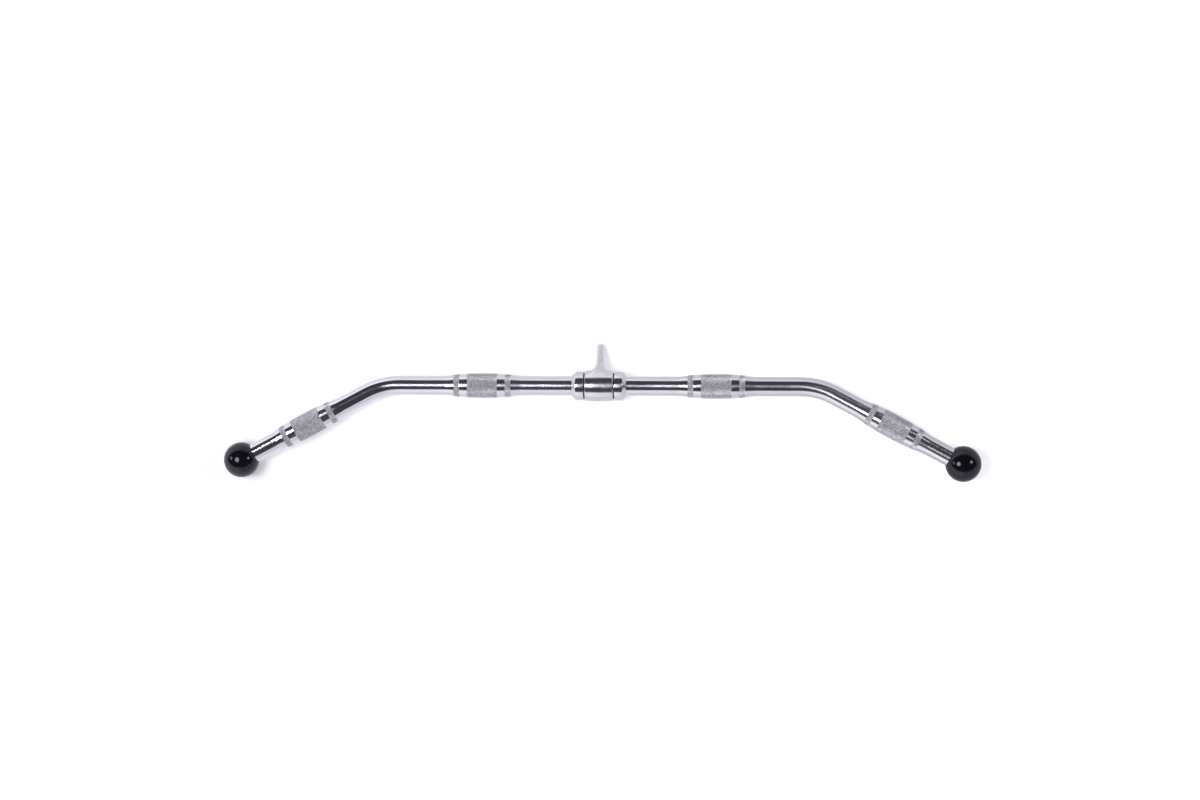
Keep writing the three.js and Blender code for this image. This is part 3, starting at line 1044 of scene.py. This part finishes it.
def make_collar(node, side):
    crowned = [
        (collar_start + COLLAR_LENGTH * share, collar_radius - COLLAR_CROWN * (2 * share - 1) ** 2)
        for share in spread(0, 1, CROWN_STEPS)
    ]
    profile = [
        (collar_start, bore_radius),
        *crowned,
        (collar_end, bore_radius + COLLAR_NOSE_WALL),
        (collar_end, bore_radius),
        (collar_start, bore_radius),
    ]
    turned = revolved(rounded(profile, COLLAR_EDGE), TURNED_SIDES, closed=True)
    piece = new_piece(f"turned_{node}", *turned)
    cut(piece, screw_cutter(SCREW_SPREAD), screw_cutter(-SCREW_SPREAD))
    lay_lines(piece)
    piece.data.transform(to_bar @ facing(side))
    return dress(piece, "bar", "collar_chrome", [node], collar_chrome)


# %% [markdown]
# ## Grub screws
# Two short plugs in each collar, each with chamfered ends and a hexagon socket for the key. They
# are sunk below the collar's rim and stand just clear of the bar.

# %% Make the collars and their grub screws
SCREW_LENGTH = 5 * MM
SCREW_CHAMFER = 0.7 * MM
SCREW_EDGE = SCREW_CHAMFER / 3
SOCKET_HALF = 1.5 * MM
SOCKET_DEPTH = 2.6 * MM
SOCKET_SIDES = 6


def make_screw(node, side, turn):
    start = bore_radius
    end = start + SCREW_LENGTH
    body = [
        (start, 0),
        (start, SCREW_RADIUS - SCREW_CHAMFER),
        (start + SCREW_CHAMFER, SCREW_RADIUS),
        (end - SCREW_CHAMFER, SCREW_RADIUS),
        (end, SCREW_RADIUS - SCREW_CHAMFER),
        (end, 0),
    ]
    floor = end - SOCKET_DEPTH
    corner = SOCKET_HALF / math.cos(math.pi / SOCKET_SIDES)
    socket = [(floor, 0), (floor, corner), (end + TRIM, corner), (end + TRIM, 0)]
    piece = new_piece(f"hex_{node}", *revolved(rounded(body, SCREW_EDGE), SCREW_SIDES))
    cut(piece, new_piece("socket_cutter", *revolved(socket, SOCKET_SIDES)))
    piece.data.transform(to_bar @ facing(side) @ down(turn))
    return dress(piece, "bar", "screw_steel", [node], screw_steel)


for side_name, side in SIDES_OF_BAR.items():
    make_collar(f"collar_{side_name}", side)
    for place_name, place in (("front", -side), ("back", side)):
        make_screw(f"grub_screw_{side_name}_{place_name}", side, place * SCREW_SPREAD)

# %% [markdown]
# ## Ball ends
# A ball is a turned profile too, open at its mouth. Where the two half moulds met, a fine seam runs
# round its widest place. A real seam is a few hundredths of a millimetre high; this one is drawn at
# 0.07 mm, so that it shows.

# %% Make the balls
BALL_SIDES = 128
BALL_STEPS = 72
SEAM_HEIGHT = 0.07 * MM
SEAM_WIDTH = 0.5 * MM
MOUTH_ROUND = 0.5 * MM


def ball_profile():
    """From the bottom of the bore, out of the mouth and round to the far pole."""
    bore_end = -ball_mouth + BALL_GRIP_DEPTH + CLEARANCE
    mouth_angle = math.atan2(bore_radius + MOUTH_ROUND, ball_mouth)
    points = [(bore_end, 0), (bore_end, bore_radius), (-ball_mouth + 2 * MOUTH_ROUND, bore_radius)]
    for angle in spread(mouth_angle, math.pi, BALL_STEPS):
        along = -ball_radius * math.cos(angle)
        ridge = SEAM_HEIGHT * math.exp(-((along / SEAM_WIDTH) ** 2))
        points.append((along, (ball_radius + ridge) * math.sin(angle)))
    points[-1] = (ball_radius, 0)
    return points


def make_ball(name, node, side):
    x, y, turn = centreline(mouth_place + ball_mouth)
    heading = -turn if side > 0 else math.pi + turn
    place = Matrix.Translation((side * x, y, 0)) @ Matrix.Rotation(heading, 4, "Z")
    piece = new_piece(name, *revolved(ball_profile(), BALL_SIDES), to_bar @ place)
    return dress(piece, "bar", "ball_black", [node], ball_phenolic)


for side_name, side in SIDES_OF_BAR.items():
    make_ball(f"phenolic_ball_{side_name}", f"ball_end_{side_name}", side)

# %% [markdown]
# ## The table
# The real table is white. This one's own colour is a pale grey, so that it doesn't light the object
# too much from below. Seen by the camera it is lifted to white, more on the right than on the left,
# where the softbox stands, and wholly white far off; the object's shadow stays. Seen in the metal it
# is lifted too, there more on the left.

# %% The table
FLOOR_HALF = 30.0
FLOOR_CORNERS = [(-1, -1), (1, -1), (1, 1), (-1, 1)]
SEEN_GAIN = 1.35
SEEN_LIFT = (0.17, 0.57)
MIRRORED_LIFT = (0.62, 0.36)
LIFT_REACH = 0.45
FAR_LIFT_START = 0.7
FAR_LIFT_END = 2.0


def table_lift(tree, rays):
    """How much light the table adds for the camera and in the metal, so that it looks white."""
    place = add_node(tree, "TexCoord").outputs["Object"]
    across = add_node(tree, "SeparateXYZ", {0: place})
    lifts = []
    for left, right in (SEEN_LIFT, MIRRORED_LIFT):
        limits = {"From Min": -LIFT_REACH, "From Max": LIFT_REACH, "To Min": left, "To Max": right}
        lifts.append(add_node(tree, "MapRange", {"Value": across, **limits}))
    mirror_rays = {0: rays["Is Glossy Ray"], 1: rays["Is Transmission Ray"]}
    mirrored = add_node(tree, "Math", mirror_rays, operation="MAXIMUM")
    in_metal = add_node(tree, "Math", {0: mirrored, 1: lifts[1]}, operation="MULTIPLY")
    away = add_node(tree, "VectorMath", {0: place}, operation="LENGTH").outputs["Value"]
    limits = {"From Min": FAR_LIFT_START, "From Max": FAR_LIFT_END}
    far = add_node(tree, "MapRange", {"Value": away, **limits})
    seen = add_node(tree, "Math", {0: lifts[0], 1: far}, operation="ADD")
    parts = {0: rays["Is Camera Ray"], 1: seen, 2: in_metal}
    return add_node(tree, "Math", parts, operation="MULTIPLY_ADD")


def matt_white(tree):
    rays = add_node(tree, "LightPath").outputs
    colours = {"A": linear("#C8C8CA"), "B": (SEEN_GAIN, SEEN_GAIN, SEEN_GAIN, 1)}
    colour = add_node(tree, "Mix", {"Factor": rays["Is Camera Ray"], **colours}, data_type="RGBA")
    return {
        "Base Color": colour.outputs["Result"],
        "Roughness": 0.9,
        "Specular IOR Level": 0.0,
        "Emission Color": linear("#F9F8FF"),
        "Emission Strength": table_lift(tree, rays),
    }


def make_table():
    vertices = [(FLOOR_HALF * x, FLOOR_HALF * y, 0) for x, y in FLOOR_CORNERS]
    piece = new_piece("white_table", vertices, [[0, 1, 2, 3]])
    piece.data.materials.append(new_material("matt_white_table", matt_white))
    piece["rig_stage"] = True
    return piece


table = make_table()

# %% [markdown]
# ## The room
# Chrome shows only what surrounds it, so the room is built as the metal sees it: a dark ceiling
# overhead, and white walls at the front and back, down to the horizon, a little greyer on the right.
# The camera itself sees plain white beyond the table. A direction meets a wall where it leans over
# far enough, that is, where its sideways part is several times its upward part.

# %% The room
BACK_WALL_SLOPE = 2.2
FRONT_WALL_SLOPE = 1.25
WALL_EDGE = 0.2
WALL_LEFT = -0.25
WALL_RIGHT = 0.12
WALL_STRENGTH = 1.18
HORIZON = 0.001


def wall_share(tree, way):
    """1 where a direction meets the front or back wall, 0 where it meets the ceiling."""
    up = add_node(tree, "Math", {0: way["Z"], 1: HORIZON}, operation="MAXIMUM")
    back = add_node(tree, "Math", {0: way["Y"], 1: up}, operation="DIVIDE")
    front = add_node(tree, "Math", {0: back, 1: -1.0}, operation="MULTIPLY")
    shares = []
    for lean, slope in ((back, BACK_WALL_SLOPE), (front, FRONT_WALL_SLOPE)):
        limits = {"From Min": slope * (1 - WALL_EDGE), "From Max": slope * (1 + WALL_EDGE)}
        inputs = {"Value": lean, **limits}
        shares.append(add_node(tree, "MapRange", inputs, interpolation_type="SMOOTHSTEP"))
    return add_node(tree, "Math", {0: shares[0], 1: shares[1]}, operation="MAXIMUM")


def make_room():
    world = bpy.data.worlds.new("studio")
    world.use_nodes = True
    tree = world.node_tree
    tree.nodes.clear()
    place = add_node(tree, "TexCoord").outputs["Generated"]
    way = add_node(tree, "SeparateXYZ", {0: place}).outputs
    along = add_node(tree, "MapRange", {"Value": way["X"], "From Min": WALL_LEFT, "From Max": WALL_RIGHT})
    colours = {"A": linear("#FFFFFF"), "B": linear("#D3D2D9")}
    white = add_node(tree, "Mix", {"Factor": along, **colours}, data_type="RGBA")
    colours = {"A": linear("#3A3B42"), "B": white.outputs["Result"]}
    colour = add_node(tree, "Mix", {"Factor": wall_share(tree, way), **colours}, data_type="RGBA")
    by_camera = add_node(tree, "LightPath").outputs["Is Camera Ray"]
    colours = {"A": colour.outputs["Result"], "B": linear("#FFFFFF")}
    shown = add_node(tree, "Mix", {"Factor": by_camera, **colours}, data_type="RGBA")
    limits = {"To Min": WALL_STRENGTH, "To Max": 1.0}
    strength = add_node(tree, "MapRange", {"Value": by_camera, **limits})
    light = add_node(tree, "Background", {"Color": shown.outputs["Result"], "Strength": strength})
    add_node(tree, "OutputWorld", {"Surface": light})
    bpy.context.scene.world = world
    print(f"room: ceiling, walls at {BACK_WALL_SLOPE} and {FRONT_WALL_SLOPE}")


make_room()

# %% [markdown]
# ## Lamps
# One round softbox, high and to the left, lights the table and the pieces that aren't chrome, and
# gives the balls their pale spot. Two small warm lamps stand further out and light everything. The
# chrome pieces have a large oval softbox of their own, far off and a third of the way down on the
# left, which their polishing lines draw out into the long streak: light linking tells Blender which
# pieces a lamp lights.

# %% Lamps
SOFTBOX_COLOUR = "#F7F7FF"
STREAK_FAR = 20.0
STREAK_BACK = 0.02
STREAK_TILT = math.radians(33)


def add_lamp(name, place, size, radiance, colour, pieces=()):
    """An oval area lamp of a given brightness that faces the bar and lights some pieces or all."""
    data = bpy.data.lights.new(name, "AREA")
    data.shape = "ELLIPSE"
    data.size, data.size_y = size
    data.energy = radiance * math.pi * math.pi * size[0] * size[1] / 4
    data.color = linear(colour)[:3]
    lamp = bpy.data.objects.new(name, data)
    lamp.location = place
    lamp.rotation_euler = (axis_point - lamp.location).to_track_quat("-Z", "Y").to_euler()
    lamp.visible_camera = False
    bpy.context.scene.collection.objects.link(lamp)
    if pieces:
        lit = bpy.data.collections.new(f"lit_by_{name}")
        for piece in pieces:
            lit.objects.link(piece)
        lamp.light_linking.receiver_collection = lit
    print(f"{name}: {data.energy:.0f} W")


chrome_pieces = [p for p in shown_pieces() if "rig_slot" in p and p["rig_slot"].endswith("chrome")]
other_pieces = [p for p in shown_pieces() if p not in chrome_pieces]
streak_way = Vector((-math.sin(STREAK_TILT), STREAK_BACK, math.cos(STREAK_TILT)))
streak_place = axis_point + streak_way * STREAK_FAR

# Each lamp's place, size, radiance, colour and, where it lights only some pieces, those pieces.
lamps = {
    "softbox": ((-1.19, 0.0, 2.47), (1.25, 1.25), 8.0, SOFTBOX_COLOUR, [table, *other_pieces]),
    "streak_softbox": (streak_place, (8.2, 4.4), 37.0, SOFTBOX_COLOUR, chrome_pieces),
    "warm_lamp_left": ((-2.74, 0.33, 1.3), (0.75, 0.75), 4.0, "#FFE9D0"),
    "warm_lamp_right": ((3.9, 0.95, 2.95), (1.3, 1.3), 7.0, "#FFF9F2"),
}
for name, lamp in lamps.items():
    add_lamp(name, *lamp)

# %% [markdown]
# ## The camera
# It hangs over the table and looks almost straight down: it stands a little to the right and looks
# back, so the right half of the bar looks slightly larger than the left half. Its middle is a little
# in front of the bar, and it is rolled a fraction of a degree.

# %% The camera
CAMERA_FAR = 3.0
CAMERA_LENS = 70.0
CAMERA_LEAN = math.radians(3.8)
CAMERA_ROLL = math.radians(0.24)
CAMERA_AIM = Vector((1, -18, 0)) * MM


def make_camera():
    data = bpy.data.cameras.new("photo_camera")
    data.lens = CAMERA_LENS
    camera = bpy.data.objects.new("photo_camera", data)
    back = Vector((math.sin(CAMERA_LEAN), 0, math.cos(CAMERA_LEAN)))
    place = Matrix.Translation(axis_point + CAMERA_AIM + back * CAMERA_FAR)
    lean = Matrix.Rotation(CAMERA_LEAN, 4, "Y")
    roll = Matrix.Rotation(CAMERA_ROLL, 4, "Z")
    camera.matrix_world = place @ lean @ roll
    bpy.context.scene.collection.objects.link(camera)
    bpy.context.scene.camera = camera
    print(f"lens {data.lens:.0f} mm at {CAMERA_FAR:.1f} m")


make_camera()
bpy.context.scene.view_settings.view_transform = "Standard"
